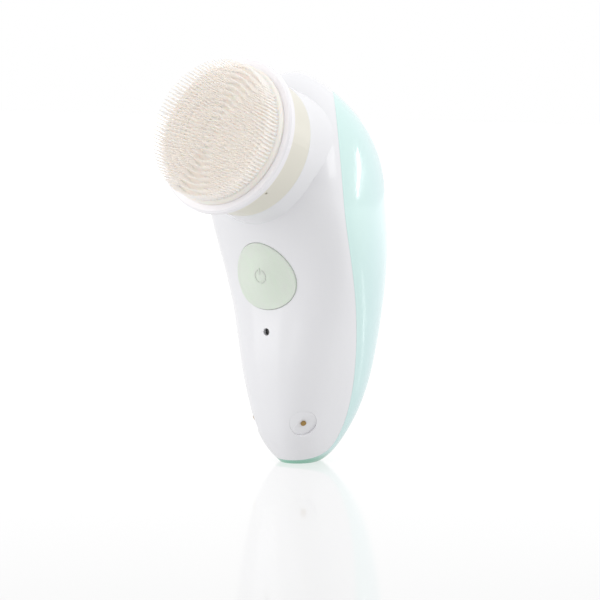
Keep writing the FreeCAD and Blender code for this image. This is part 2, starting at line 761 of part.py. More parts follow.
def motor_armature():
    """Three-pole laminated rotor with its windings and commutator."""
    front, back = ARMATURE
    length = back - front
    stack = tube(CORE_R, 0, front - CORE_PAST, back + CORE_PAST)
    for k in range(POLE_COUNT):
        corner = Vector(0, -POLE_WIDTH / 2.0, -back)
        arm = Part.makeBox(SHOE_IN_R + RUNNING_CLEARANCE, POLE_WIDTH, length, corner)
        shoe = Part.makeCylinder(ARMATURE_R, length, Vector(0, 0, -back), Vector(0, 0, 1), SHOE_ANGLE)
        shoe.rotate(Vector(0, 0, 0), Vector(0, 0, 1), -SHOE_ANGLE / 2.0)
        shoe = shoe.cut(Part.makeCylinder(SHOE_IN_R, length + 2.0 * OVER, Vector(0, 0, -back - OVER)))
        pole = arm.fuse(shoe)
        pole.rotate(Vector(0, 0, 0), Vector(0, 0, 1), 360.0 * k / POLE_COUNT)
        stack = stack.fuse(on_head_axis(pole))
    stack = stack.fuse(tube(COMMUTATOR_R, 0, back + CORE_PAST, MOTOR_BACK - COMMUTATOR_GAP))
    return stack.cut(tube(MOTOR_SHAFT_R, 0, front - 2.0 * OVER, MOTOR_BACK))


def motor_pinion():
    pinion = gear_bar(SMALL_TEETH, TOOTH_SHIFT, FAST_MESH[0], FAST_MESH[1], 0.0)
    return pinion.cut(tube(MOTOR_SHAFT_R, 0, FAST_MESH[0] - OVER, FAST_MESH[1] + OVER))


# ================================================================ controls
def front_of_housing(x, z):
    """The housing's front y at one place."""
    ray = Part.LineSegment(Vector(x, -FAR, z), Vector(x, 0, z)).toShape()
    return body_form(0.0).common(ray).BoundBox.YMin


def button_swell(x, z):
    """How far the pebble-shaped face stands out over its own rim."""
    across = 2.0 * x / BUTTON_WIDTH
    along = 2.0 * (z - BUTTON_Z) / BUTTON_HEIGHT
    share = min(1.0, math.hypot(across, along))
    return BUTTON_SWELL * (1.0 + math.cos(math.pi * share)) / 2.0


def button_form():
    """Everything behind the button's pebble-shaped face."""
    rows = []
    for j in range(FIELD_STEPS + 1):
        z = BUTTON_Z + FIELD_HALF * (2.0 * j / FIELD_STEPS - 1.0)
        row = []
        for i in range(FIELD_STEPS + 1):
            x = FIELD_HALF * (2.0 * i / FIELD_STEPS - 1.0)
            y = front_of_housing(x, z) - BUTTON_PROUD - button_swell(x, z)
            row.append(Vector(x, y, z))
        rows.append(row)
    surface = Part.BSplineSurface()
    surface.interpolate(rows)
    return surface.toShape().extrude(Vector(0, FAR, 0))


def power_button(form):
    """Soft green button that follows the housing's curve and swells out, with a hidden lip."""
    face = egg_bar(-BUTTON_GAP, -OUTSIDE, INSIDE).common(form).cut(body_form(BUTTON_DEPTH))
    edges = [e for e in face.Edges if e.CenterOfMass.y < BUTTON_EDGE_Y and e.Length > BUTTON_HEIGHT]
    face = face.makeFillet(BUTTON_EDGE, edges)
    lip = egg_bar(BUTTON_LIP, -OUTSIDE, INSIDE).common(skin(WALL + LIP_GAP, BUTTON_DEPTH))
    room = y_cylinder(PLUNGER_R + 0.5, 0, BUTTON_Z, PLUNGER_TIP - BUTTON_CLEARANCE, 0.0)
    return face.fuse(lip).cut(room)


def power_symbol(form):
    """Raised ring with a gap and a bar, the common power sign."""
    half = SYMBOL_LINE / 2.0
    ring = y_cylinder(SYMBOL_R + half, 0, BUTTON_Z, -OUTSIDE, INSIDE)
    ring = ring.cut(y_cylinder(SYMBOL_R - half, 0, BUTTON_Z, -OUTSIDE - OVER, INSIDE + OVER))
    gap = 3.0 * SYMBOL_LINE
    ring = ring.cut(Part.makeBox(gap, FAR, 3.0 * SYMBOL_R, Vector(-gap / 2.0, -FAR, BUTTON_Z)))
    bar = Part.makeBox(SYMBOL_LINE, OUTSIDE + INSIDE, SYMBOL_R,
                       Vector(-half, -OUTSIDE, BUTTON_Z + SYMBOL_R / 3.0))
    raised = form.translated(Vector(0, -SYMBOL_PROUD, 0))
    layer = raised.cut(form)
    return Part.makeCompound([ring.common(layer), bar.common(layer)])


def button_frame():
    """Ring behind the shell that keeps the button's lip in place."""
    ring = egg_bar(BUTTON_LIP + FRAME_MARGIN, -OUTSIDE, INSIDE)
    ring = ring.common(skin(WALL, BUTTON_DEPTH + 0.5))
    return ring.cut(egg_bar(BUTTON_LIP + 0.3, -OUTSIDE - OVER, INSIDE + OVER))


def tact_switch():
    half = SWITCH_SIZE / 2.0
    case = Part.makeBox(SWITCH_SIZE, SWITCH_DEPTH, SWITCH_SIZE,
                        Vector(-half, BOARD_FRONT - SWITCH_DEPTH, BUTTON_Z - half))
    return case.cut(y_cylinder(PLUNGER_R + 0.05, 0, BUTTON_Z, BOARD_FRONT - 4.0, BOARD_FRONT - 1.5))


def switch_plunger():
    return y_cylinder(PLUNGER_R, 0, BUTTON_Z, PLUNGER_TIP, BOARD_FRONT - 2.3)


def indicator_lens():
    bar = y_cylinder(INDICATOR_R, 0, INDICATOR_Z, -OUTSIDE, BOARD_FRONT - LED.z)
    return bar.common(body_form(INDICATOR_RECESS))


def indicator_led():
    corner = Vector(-LED.x / 2.0, BOARD_FRONT - LED.y, INDICATOR_Z - LED.z / 2.0)
    return Part.makeBox(LED.x, LED.y, LED.z, corner)


# ================================================================ inside
def inner_frame():
    """Plate behind the board, with four ears and two battery clips."""
    thick = FRAME_BACK - FRAME_FRONT
    low, high = FRAME_Z
    frame = Part.makeBox(2.0 * FRAME_HALF, thick, high - low, Vector(-FRAME_HALF, FRAME_FRONT, low))
    for x, z in frame_screw_places():
        frame = frame.fuse(y_cylinder(EAR_R, x, z, FRAME_FRONT, FRAME_BACK))
        arm = Part.makeBox(abs(x), thick, 2.0 * EAR_R, Vector(min(x, 0.0), FRAME_FRONT, z - EAR_R))
        frame = frame.fuse(arm)
    for x, z in board_screw_places():
        frame = frame.fuse(y_cylinder(BOARD_POST_R, x, z, BOARD_BACK, FRAME_FRONT + thick / 2.0))
    for level in CLIP_LEVELS:
        ring = Part.makeCylinder(BATTERY_R + CLIP_WALL, CLIP_HEIGHT, Vector(0, BATTERY_Y, level))
        reach = BATTERY_Y - BATTERY_R - FRAME_BACK + thick / 2.0
        clip = ring.fuse(Part.makeBox(CLIP_ARM, reach, CLIP_HEIGHT,
                                      Vector(-CLIP_ARM / 2.0, FRAME_BACK - thick / 2.0, level)))
        tall = CLIP_HEIGHT + 2.0 * OVER
        centre = Vector(0, BATTERY_Y, level - OVER)
        clip = clip.cut(Part.makeCylinder(BATTERY_R + 0.05, tall, centre))
        opening = Vector(-FAR / 2.0, BATTERY_Y + CLIP_OPENING, level - OVER)
        frame = frame.fuse(clip.cut(Part.makeBox(FAR, FAR, tall, opening)))
    for x, z in frame_screw_places():
        frame = frame.cut(y_cylinder(SCREW_SHANK_R + 0.1, x, z, FRAME_FRONT - OVER, FRAME_BACK + OVER))
    for x, z in board_screw_places():
        frame = frame.cut(y_cylinder(BOARD_SCREW_R, x, z, BOARD_BACK - OVER, FRAME_BACK + OVER))
    return frame.removeSplitter()


def y_screw(x, z, head_y, head_thick, tip_y, shank_r, head_r):
    """Screw along Y, its head starting at head_y."""
    side = 1.0 if tip_y < head_y else -1.0
    head = y_cylinder(head_r, x, z, min(head_y, head_y + side * head_thick),
                      max(head_y, head_y + side * head_thick))
    shank = y_cylinder(shank_r, x, z, min(head_y, tip_y), max(head_y, tip_y))
    top = head_y + side * head_thick
    cut_from = min(top, top - side * 0.5)
    slot = Part.makeBox(head_r * 1.4, 0.5, 0.4, Vector(x - head_r * 0.7, cut_from, z - 0.2))
    cross = Part.makeBox(0.4, 0.5, head_r * 1.4, Vector(x - 0.2, cut_from, z - head_r * 0.7))
    return head.fuse(shank).cut(slot).cut(cross)


def frame_screws():
    return Part.makeCompound([
        y_screw(x, z, FRAME_BACK, SCREW_HEAD, FRAME_FRONT - BOSS_HOLE + 0.4, SCREW_SHANK_R,
                SCREW_HEAD_R)
        for x, z in frame_screw_places()])


def board_screws():
    return Part.makeCompound([
        y_screw(x, z, BOARD_FRONT, BOARD_SCREW_HEAD, FRAME_BACK - 0.2, BOARD_SCREW_R,
                BOARD_SCREW_HEAD_R)
        for x, z in board_screw_places()])


def circuit_board():
    low, high = BOARD_Z
    board = Part.makeBox(2.0 * BOARD_HALF, BOARD_BACK - BOARD_FRONT, high - low,
                         Vector(-BOARD_HALF, BOARD_FRONT, low))
    for x, z in board_screw_places():
        board = board.cut(y_cylinder(BOARD_SCREW_R, x, z, BOARD_FRONT - OVER, BOARD_BACK + OVER))
    return board


def board_components():
    """Charger chip, controller, driver and passives on the board's front."""
    parts = []
    for x, z, wide, tall, thick in BOARD_CHIPS:
        corner = Vector(x - wide / 2.0, BOARD_FRONT - thick, z - tall / 2.0)
        parts.append(Part.makeBox(wide, thick, tall, corner))
    return Part.makeCompound(parts)


def battery_cell():
    low, high = BATTERY_Z
    cell = Part.makeCylinder(BATTERY_R, high - low - CELL_CAP, Vector(0, BATTERY_Y, low))
    return cell.fuse(Part.makeCylinder(CELL_CAP_R, CELL_CAP, Vector(0, BATTERY_Y, high - CELL_CAP)))


def battery_tabs():
    low, high = BATTERY_Z
    corner = Vector(-TAB.x / 2.0, BATTERY_Y - TAB_REACH, 0)
    top = Part.makeBox(TAB.x, TAB.y, TAB.z, corner + Vector(0, 0, high))
    bottom = Part.makeBox(TAB.x, TAB.y, TAB.z, corner + Vector(0, 0, low - TAB.z))
    return Part.makeCompound([top, bottom])


def contact_ring():
    """Flush round inlay, a little hollow, moulded round the charging pin."""
    ring = contact_cylinder(CONTACT_RING_R, CONTACT_REACH, CONTACT_BACK)
    ring = ring.common(skin(0.0, WALL + 0.4))
    bowl_r = CONTACT_RING_R * CONTACT_RING_R / (2.0 * CONTACT_DIMPLE)
    axis = Vector(CONTACT_OUT).normalize()
    ring = ring.cut(Part.makeSphere(bowl_r, CONTACT_POINT + axis * (bowl_r - CONTACT_DIMPLE)))
    return ring.cut(contact_cylinder(CONTACT_PIN_R, CONTACT_REACH, CONTACT_REACH))


def charging_contact():
    """Gold pin with the wider foot that its lead is soldered to."""
    pin = contact_cylinder(CONTACT_PIN_R, CONTACT_PIN_PROUD, CONTACT_PIN_LENGTH)
    return pin.fuse(contact_cylinder(CONTACT_FOOT_R, -CONTACT_FOOT_DEPTH, CONTACT_BACK))


def contact_lead():
    axis = Vector(CONTACT_OUT).normalize()
    start = CONTACT_POINT - axis * CONTACT_PIN_LENGTH
    route = [start, start - axis * CONTACT_BACK] + [Vector(*spot) for spot in CONTACT_LEAD_ROUTE]
    return bent_tube(route, CONTACT_LEAD_R, CONTACT_LEAD_BEND)


def motor_lead():
    """From one motor terminal down the left or right side to the board's edge."""
    end = PAD_CENTRE - head_direction() * (MOTOR_CAP_END + TERMINAL_OUT)
    start = Vector(TERMINAL_X, end.y, end.z)
    route = [start + Vector(0, LEAD_R, 0), start + Vector(2.0, 4.5, -4.0)]
    route += [Vector(*spot) for spot in MOTOR_LEAD_ROUTE]
    return bent_tube(route, LEAD_R, LEAD_BEND)


def main():
    os.makedirs("parts", exist_ok=True)
    pebble = button_form()
    right_ring = contact_ring()
    right_pin = charging_contact()
    right_contact_lead = contact_lead()
    right_motor_lead = motor_lead()
    parts = {
        "front_shell": front_shell(),
        "rear_cover": rear_cover(),
        "shell_gasket": shell_gasket(),
        "neck_collar": neck_collar(),
        "collar_seal": collar_seal(),
        "head_carrier": head_carrier(),
        "bristle_pad": bristle_pad(),
        "bristles": bristles(),
        "hub_insert": hub_insert(),
        "head_clip": head_clip(),
        "spindle": spindle(),
        "shaft_seal": shaft_seal(),
        "front_bearing": bearing(FRONT_BEARING),
        "rear_bearing": bearing(REAR_BEARING),
        "output_gear": output_gear(),
        "compound_gear": compound_gear(),
        "idler_pin": idler_pin(),
        "gearbox_housing": gearbox_housing(),
        "gearbox_cover": gearbox_cover(),
        "gearbox_screws": gearbox_screws(),
        "motor_screws": motor_screws(),
        "motor_can": motor_can(),
        "motor_magnets": motor_magnets(),
        "motor_end_cap": motor_end_cap(),
        "motor_terminals": motor_terminals(),
        "motor_shaft": motor_shaft(),
        "motor_armature": motor_armature(),
        "motor_pinion": motor_pinion(),
        "power_button": power_button(pebble),
        "power_symbol": power_symbol(pebble),
        "button_frame": button_frame(),
        "tact_switch": tact_switch(),
        "switch_plunger": switch_plunger(),
        "indicator_lens": indicator_lens(),
        "indicator_led": indicator_led(),
        "inner_frame": inner_frame(),
        "frame_screws": frame_screws(),
        "circuit_board": circuit_board(),
        "board_screws": board_screws(),
        "board_components": board_components(),
        "battery_cell": battery_cell(),
        "battery_tabs": battery_tabs(),
        "contact_ring_right": right_ring,
        "contact_ring_left": mirrored(right_ring),
        "charging_contact_right": right_pin,
        "charging_contact_left": mirrored(right_pin),
        "contact_lead_right": right_contact_lead,
        "contact_lead_left": mirrored(right_contact_lead),
        "motor_lead_right": right_motor_lead,
        "motor_lead_left": mirrored(right_motor_lead),
    }
    for name, shape in parts.items():
        shape.exportStep("parts/" + name + ".step")
        print(name, len(shape.Solids), round(shape.Volume, 1), shape.isValid())


main()
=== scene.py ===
import json
import math
import random

import bmesh
import bpy
from mathutils import Matrix, Vector


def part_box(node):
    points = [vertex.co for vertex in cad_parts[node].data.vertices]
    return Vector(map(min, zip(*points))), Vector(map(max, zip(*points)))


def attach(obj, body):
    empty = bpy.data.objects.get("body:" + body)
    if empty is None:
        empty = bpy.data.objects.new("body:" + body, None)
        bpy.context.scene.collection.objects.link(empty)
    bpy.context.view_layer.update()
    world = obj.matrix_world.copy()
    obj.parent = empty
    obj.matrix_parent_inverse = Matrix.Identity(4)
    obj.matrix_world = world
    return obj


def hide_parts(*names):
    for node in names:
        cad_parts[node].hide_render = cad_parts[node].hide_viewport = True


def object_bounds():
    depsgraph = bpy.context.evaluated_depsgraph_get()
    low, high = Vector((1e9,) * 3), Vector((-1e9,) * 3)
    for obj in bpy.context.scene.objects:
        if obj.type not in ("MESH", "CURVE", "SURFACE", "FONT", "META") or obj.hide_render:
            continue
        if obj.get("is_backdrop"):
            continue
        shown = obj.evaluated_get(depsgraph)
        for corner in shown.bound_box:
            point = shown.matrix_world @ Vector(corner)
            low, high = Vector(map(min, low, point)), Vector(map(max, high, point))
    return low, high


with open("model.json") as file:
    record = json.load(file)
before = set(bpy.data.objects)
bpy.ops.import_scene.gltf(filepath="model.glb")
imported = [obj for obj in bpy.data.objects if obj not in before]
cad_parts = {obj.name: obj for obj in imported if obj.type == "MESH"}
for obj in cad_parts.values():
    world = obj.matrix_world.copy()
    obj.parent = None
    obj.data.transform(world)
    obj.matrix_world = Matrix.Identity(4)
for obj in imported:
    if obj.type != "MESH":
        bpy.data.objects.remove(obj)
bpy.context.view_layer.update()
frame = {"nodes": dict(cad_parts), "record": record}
scene = bpy.context.scene
nodes = frame["nodes"]
record = frame["record"]
random.seed(7)

MM = 0.001


# ------------------------------------------------------------------ the head's own frame
def head_frame(centre, out):
    """Matrix from the pad's frame to the row frame: z points out of the pad, x to the side."""
    side = Vector((1.0, 0.0, 0.0))
    up = out.cross(side).normalized()
    return Matrix((
        (side.x, up.x, out.x, centre.x),
        (side.y, up.y, out.y, centre.y),
        (side.z, up.z, out.z, centre.z),
        (0, 0, 0, 1)))


spin = next(item for item in record["behaviour"]["joints"] if item["name"] == "spindle_spin")
PAD_CENTRE = Vector(spin["pos_m"])
OUT = Vector(spin["axis"]).normalized()
HEAD = head_frame(PAD_CENTRE, OUT)


# ------------------------------------------------------------------ material nodes
def new_material(name):
    material = bpy.data.materials.new(name)
    material.use_nodes = True
    tree = material.node_tree
    tree.nodes.clear()
    output = tree.nodes.new("ShaderNodeOutputMaterial")
    shader = tree.nodes.new("ShaderNodeBsdfPrincipled")
    tree.links.new(shader.outputs["BSDF"], output.inputs["Surface"])
    return material, tree, shader


def noise(tree, scale, detail, rough=0.5, stretch=None):
    """Noise in the object's own coordinates, stretched along its axes if asked."""
    coords = tree.nodes.new("ShaderNodeTexCoord")
    texture = tree.nodes.new("ShaderNodeTexNoise")
    texture.inputs["Scale"].default_value = scale
    texture.inputs["Detail"].default_value = detail
    texture.inputs["Roughness"].default_value = rough
    place = coords.outputs["Object"]
    if stretch:
        mapping = tree.nodes.new("ShaderNodeMapping")
        mapping.inputs["Scale"].default_value = stretch
        tree.links.new(place, mapping.inputs["Vector"])
        place = mapping.outputs["Vector"]
    tree.links.new(place, texture.inputs["Vector"])
    return texture.outputs["Fac"]


def ramp(tree, source, low, high, start=0.35, stop=0.65):
    """A value to a colour between two tones."""
    node = tree.nodes.new("ShaderNodeValToRGB")
    for element, position, tone in zip(node.color_ramp.elements, (start, stop), (low, high)):
        element.position = position
        element.color = (*tone, 1.0)
    tree.links.new(source, node.inputs["Fac"])
    return node.outputs["Color"]


def map_range(tree, source, start, stop, low=0.0, high=1.0, smooth=False):
    """A value from start to stop becomes one from low to high."""
    node = tree.nodes.new("ShaderNodeMapRange")
    if smooth:
        node.interpolation_type = "SMOOTHSTEP"
    node.inputs["From Min"].default_value = start
    node.inputs["From Max"].default_value = stop
    node.inputs["To Min"].default_value = low
    node.inputs["To Max"].default_value = high
    tree.links.new(source, node.inputs["Value"])
    return node.outputs["Result"]


def bump(tree, source, strength, distance):
    node = tree.nodes.new("ShaderNodeBump")
    node.inputs["Strength"].default_value = strength
    node.inputs["Distance"].default_value = distance
    tree.links.new(source, node.inputs["Height"])
    return node.outputs["Normal"]


def tint(tree, colour, axis, start, stop, low, high):
    """Multiply a colour by a tone that changes along one axis of the object, in metres."""
    coords = tree.nodes.new("ShaderNodeTexCoord")
    split = tree.nodes.new("ShaderNodeSeparateXYZ")
    tree.links.new(coords.outputs["Object"], split.inputs["Vector"])
    along = map_range(tree, split.outputs[axis], start, stop, smooth=True)
    tone = ramp(tree, along, low, high, 0.0, 1.0)
    mix = tree.nodes.new("ShaderNodeMix")
    mix.data_type = "RGBA"
    mix.blend_type = "MULTIPLY"
    mix.inputs["Factor"].default_value = 1.0
    tree.links.new(colour, mix.inputs["A"])
    tree.links.new(tone, mix.inputs["B"])
    return mix.outputs["Result"]


# ------------------------------------------------------------------ finishes
CLOUD_SCALE = 28.0
GLOSS_SCALE = CLOUD_SCALE * 3.1
NOISE_LOW, NOISE_HIGH = 0.3, 0.7
GRAIN_DEPTH = 0.00002
PLASTIC_IOR = 1.46


def finish_material(name, colour, roughness, vary=0.02, rough_vary=0.04, grain=220.0,
                    grain_strength=0.15, stretch=None, metallic=0.0, coat=0.0,
                    coat_roughness=0.05, sheen=0.0, subsurface=0.0,
                    subsurface_radius=(1.0, 0.6, 0.45), subsurface_scale=0.003, tints=(),
                    painted_glow=0.0):
    """Procedural finish: cloudy colour variation, uneven gloss and a fine moulded grain, with
    a painted glow in its own colour when asked.
    """
    material, tree, shader = new_material(name)
    clouds = noise(tree, CLOUD_SCALE, 4.0)
    low = tuple(max(0.0, c * (1.0 - vary)) for c in colour)
    high = tuple(min(1.0, c * (1.0 + vary)) for c in colour)
    tone = ramp(tree, clouds, low, high)
    for axis, start, stop, first, last in tints:
        tone = tint(tree, tone, axis, start, stop, first, last)
    tree.links.new(tone, shader.inputs["Base Color"])
    gloss = noise(tree, GLOSS_SCALE, 5.0, 0.6, stretch)
    uneven = map_range(tree, gloss, NOISE_LOW, NOISE_HIGH, max(0.0, roughness - rough_vary),
                       roughness + rough_vary)
    tree.links.new(uneven, shader.inputs["Roughness"])
    grains = noise(tree, grain, 2.0, 0.5, stretch)
    tree.links.new(bump(tree, grains, grain_strength, GRAIN_DEPTH), shader.inputs["Normal"])
    values = {
        "Metallic": metallic, "IOR": PLASTIC_IOR, "Coat Weight": coat,
        "Coat Roughness": coat_roughness, "Sheen Weight": sheen,
        "Subsurface Weight": subsurface, "Subsurface Radius": subsurface_radius,
        "Subsurface Scale": subsurface_scale, "Emission Color": (*colour, 1.0),
        "Emission Strength": painted_glow,
    }
    for socket, value in values.items():
        shader.inputs[socket].default_value = value
    return material


def srgb(*levels):
    """Display levels of 0 to 255 as a linear colour."""
    def linear(v):
        v = v / 255.0
        return v / 12.92 if v <= 0.04045 else ((v + 0.055) / 1.055) ** 2.4
    return tuple(linear(level) for level in levels)


POLISHED = {"grain": 900.0, "grain_strength": 0.04}
# Painted shadow: the mint cover turns darker and deeper green over its lowest few millimetres,
# where shade falls under the foot.
PAINTED_FOOT_SHADOW = ("Z", 0.0005, 0.0045, (0.42, 0.66, 0.52), (1.0, 1.0, 1.0))
FRONT_TO_BACK = ("Y", -0.008, 0.024, (0.955, 0.99, 0.955), (0.95, 0.975, 0.99))

white_gloss = finish_material(
    "white_gloss_abs", srgb(240, 240, 243), 0.16, 0.006, coat=0.35, coat_roughness=0.08,
    **POLISHED)
# The mint cover carries the painted foot shadow as one of its tints.
mint_gloss = finish_material(
    "mint_gloss_abs", srgb(217, 243, 243), 0.16, 0.006, coat=0.5,
    tints=(FRONT_TO_BACK, PAINTED_FOOT_SHADOW), **POLISHED)
# The collar's warm cream tone is partly its own colour and partly a painted reflection of the
# cream bristles beside it.
collar_cream_and_painted_reflection = finish_material(
    "collar_cream_and_painted_reflection_abs", srgb(232, 229, 217), 0.3, 0.002, rough_vary=0.012, **POLISHED)
rim_white = finish_material(
    "rim_white_abs", srgb(250, 248, 251), 0.25, 0.004, coat=0.2, **POLISHED)
silicone = finish_material(
    "cream_silicone", srgb(254, 246, 238), 0.45, 0.01, grain=1500.0, grain_strength=0.1,
    subsurface=0.35, subsurface_scale=0.002, sheen=0.1)
button_soft = finish_material(
    "soft_green_tpe", srgb(226, 235, 223), 0.34, 0.008, grain=1600.0, grain_strength=0.1,
    subsurface=0.25, subsurface_radius=(0.7, 1.0, 0.7))
rubber = finish_material(
    "seal_rubber", (0.11, 0.115, 0.12), 0.6, 0.1, grain=1200.0, grain_strength=0.3)
nylon = finish_material(
    "nylon", srgb(222, 221, 214), 0.42, grain=700.0)
acetal = finish_material(
    "acetal", srgb(238, 233, 216), 0.3, grain=700.0, grain_strength=0.1, subsurface=0.1)
dark = finish_material(
    "dark_moulding", (0.02, 0.02, 0.02), 0.35, 0.2, grain=900.0, grain_strength=0.2)
steel = finish_material(
    "steel", (0.6, 0.61, 0.63), 0.28, 0.05, grain=500.0, grain_strength=0.1, metallic=1.0,
    stretch=(1.0, 1.0, 12.0))
magnet = finish_material(
    "ferrite", (0.06, 0.06, 0.065), 0.6, 0.2, grain=900.0, grain_strength=0.4)
bronze = finish_material(
    "sintered_bronze", (0.5, 0.33, 0.16), 0.4, 0.15, grain=900.0, grain_strength=0.3,
    metallic=1.0)
gold = finish_material(
    "gold_plate", (0.40, 0.26, 0.10), 0.3, 0.05, grain=900.0, grain_strength=0.05,
    metallic=1.0)
sleeve = finish_material(
    "cell_sleeve", srgb(70, 128, 176), 0.3, 0.03, grain=400.0, grain_strength=0.1, coat=0.3)
board_green = finish_material(
    "board_green", srgb(26, 92, 58), 0.35, 0.12, grain=600.0, grain_strength=0.2, coat=0.2)
red_pvc = finish_material("red_pvc", srgb(180, 30, 24), 0.4, 0.05)
black_pvc = finish_material("black_pvc", (0.015, 0.015, 0.015), 0.4, 0.1)
lens = finish_material("smoked_lens", (0.012, 0.011, 0.010), 0.12, 0.1, coat=0.5)
# Painted glow: the bristles emit a little of their own colour to brighten the field, standing
# in for light passing through the silicone.
bristle_material = finish_material(
    "bristle_silicone", srgb(255, 249, 243), 0.4, 0.01, grain=1500.0, grain_strength=0.05,
    subsurface=0.7, subsurface_radius=(1.0, 0.8, 0.62), subsurface_scale=0.004, painted_glow=0.04)

FINISHES = {
    "white_shell": white_gloss, "mint_shell": mint_gloss, "cream_collar": collar_cream_and_painted_reflection,
    "white_head": rim_white, "silicone": silicone, "bristle_field": bristle_material,
    "seal_rubber": rubber, "button_rubber": button_soft, "engineering_plastic": nylon,
    "gear_plastic": acetal, "dark_plastic": dark, "board": board_green, "steel": steel,
    "magnet": magnet, "bronze": bronze, "gold": gold, "cell": sleeve, "red_wire": red_pvc,
    "black_wire": black_pvc, "lens": lens,
}


def paint(name, material):
    data = nodes[name].data
    data.materials.clear()
    data.materials.append(material)


for part in record["subparts"]:
    paint(part["node"], FINISHES[part["material_slot"]])
# The inlays round the charging pins match the shell that they sit in.
for ring in ("contact_ring_right", "contact_ring_left"):
    paint(ring, white_gloss)


# ------------------------------------------------------------------ brush head
def mesh_object(name, build, matrix, body, material):
    """Smooth-shaded object from what build adds to an empty mesh, riding on a CAD body."""
    mesh = bpy.data.meshes.new(name)
    data = bmesh.new()
    build(data)
    bmesh.ops.recalc_face_normals(data, faces=data.faces)
    data.to_mesh(mesh)
    data.free()
    mesh.transform(matrix)
    obj = bpy.data.objects.new(name, mesh)
    scene.collection.objects.link(obj)
    mesh.materials.append(material)
    for polygon in mesh.polygons:
        polygon.use_smooth = True
    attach(obj, body)
    return obj


def ring_of(data, radius, height, count, x=0.0, y=0.0):
    """Level ring of vertices round (x, y)."""
    verts = []
    for k in range(count):
        a = 2.0 * math.pi * k / count
        verts.append(data.verts.new((x + radius * math.cos(a), y + radius * math.sin(a),
                                     height)))
    return verts


def skin_rings(data, rings):
    """Wall through all the rings, with a cap on the last one."""
    for a, b in zip(rings[:-1], rings[1:]):
        n = len(a)
        for k in range(n):
            data.faces.new((a[k], a[(k + 1) % n], b[(k + 1) % n], b[k]))
    data.faces.new(rings[-1])


pad_low, pad_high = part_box("bristle_pad")
PAD_RADIUS = (pad_high.x - pad_low.x) / 2.0
PAD_SIDES = 128
EDGE_TOUCH = 0.08 * MM
# Share of the radius, and height over the flat face in metres.
PAD_PROFILE = ((0.4, 0.0), (0.8, 0.0), (0.955, -0.00005), (0.985, -0.0004),
               (0.999, -0.0012), (1.0, -0.0032))

BRISTLE_RINGS = 12
RING_PITCH = 2.0 * MM
RING_INSET = 1.2 * MM
BRISTLE_GAP = 1.36 * MM
BRISTLE_SIDES = 8
OUTER_BRISTLE_RADIUS = 0.32 * MM
INNER_BRISTLE_RADIUS = 0.29 * MM
INNER_LENGTH, LENGTH_SPREAD = 0.94, 0.02
SPLAY = 0.5 * MM
WOBBLE_MM = 0.12
# Share of the length, and share of the radius, from the root to the rounded tip.
BRISTLE_PROFILE = ((-0.01, 1.75), (0.05, 1.25), (0.14, 1.02), (0.5, 0.88), (0.8, 0.72),
                   (0.93, 0.58), (0.985, 0.34), (1.0, 0.12))
BRISTLE_LENGTH = max((Vector(v.co) - PAD_CENTRE).dot(OUT)
                     for v in nodes["bristles"].data.vertices)


def build_pad(data):
    """Silicone disc with a rolled edge; its flat face carries the bristles."""
    rings = [ring_of(data, (PAD_RADIUS + EDGE_TOUCH) * share, height, PAD_SIDES)
             for share, height in PAD_PROFILE]
    middle = data.verts.new((0, 0, 0))
    first = rings[0]
    for k in range(PAD_SIDES):
        data.faces.new((middle, first[k], first[(k + 1) % PAD_SIDES]))
    skin_rings(data, rings)


def build_bristle(data, x, y, lean_x, lean_y, length, radius):
    """One tapered bristle with its root at (x, y), leaning evenly along its length."""
    rings = [ring_of(data, radius * width, length * share, BRISTLE_SIDES,
                     x + lean_x * share, y + lean_y * share)
             for share, width in BRISTLE_PROFILE]
    skin_rings(data, rings)


def build_bristles(data):
    """Concentric rings of soft bristles; the outer ring is the thickest and the longest."""
    for index in range(BRISTLE_RINGS):
        outer = index == 0
        radius = PAD_RADIUS - RING_INSET - RING_PITCH * index
        splay = SPLAY * (radius / PAD_RADIUS) ** 2
        bristle_radius = OUTER_BRISTLE_RADIUS if outer else INNER_BRISTLE_RADIUS
        count = round(2.0 * math.pi * radius / BRISTLE_GAP)
        turn = random.random() * math.tau
        for k in range(count):
            a = turn + math.tau * k / count
            share = 1.0 if outer else INNER_LENGTH + LENGTH_SPREAD * random.random()
            lean_x = random.uniform(-WOBBLE_MM, WOBBLE_MM) * MM + splay * math.cos(a)
            lean_y = random.uniform(-WOBBLE_MM, WOBBLE_MM) * MM + splay * math.sin(a)
            build_bristle(data, radius * math.cos(a), radius * math.sin(a), lean_x, lean_y,
                          BRISTLE_LENGTH * share, bristle_radius)


pad = mesh_object("silicone_pad", build_pad, HEAD, "brush_head", silicone)
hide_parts("bristle_pad")
field = mesh_object("bristle_field", build_bristles, HEAD, "brush_head", bristle_material)
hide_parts("bristles")


# ------------------------------------------------------------------ floor and light
FLOOR_HALF = 3.0
FLOOR_DROP = 0.00002
FLOOR_LOOK = {
    "Base Color": (0.15, 0.15, 0.15, 1), "Roughness": 0.08, "Specular IOR Level": 0.09,
    "Emission Color": (1, 1, 1, 1), "Emission Strength": 0.62,
}

CENTRE = Vector((0, 0, 0.07))
LIGHT_DISTANCE = 0.9
# Name, azimuth, elevation, width, height, watts.
AREA_LIGHTS = (
    ("front_soft", -38.0, 12.0, 0.5, 0.7, 2.0),
    ("overhead", 60.0, 75.0, 0.7, 0.7, 0.7),
    ("front_low", 15.0, 1.0, 0.6, 0.12, 0.4),
    ("right_high", 112.0, 30.0, 0.45, 0.6, 1.5),
)

# Narrow light that the rounded shoulder of the mint cover reflects as a tall streak.
SHOULDER = Vector((0.026, -0.002, 0.102))
STRIP_DISTANCE = 0.8
STRIP_BOTTOM = (154.0, -0.5)
STRIP_TOP = (163.0, 13.0)
STRIP_WIDTH = 0.023
STRIP_POWER = 0.17

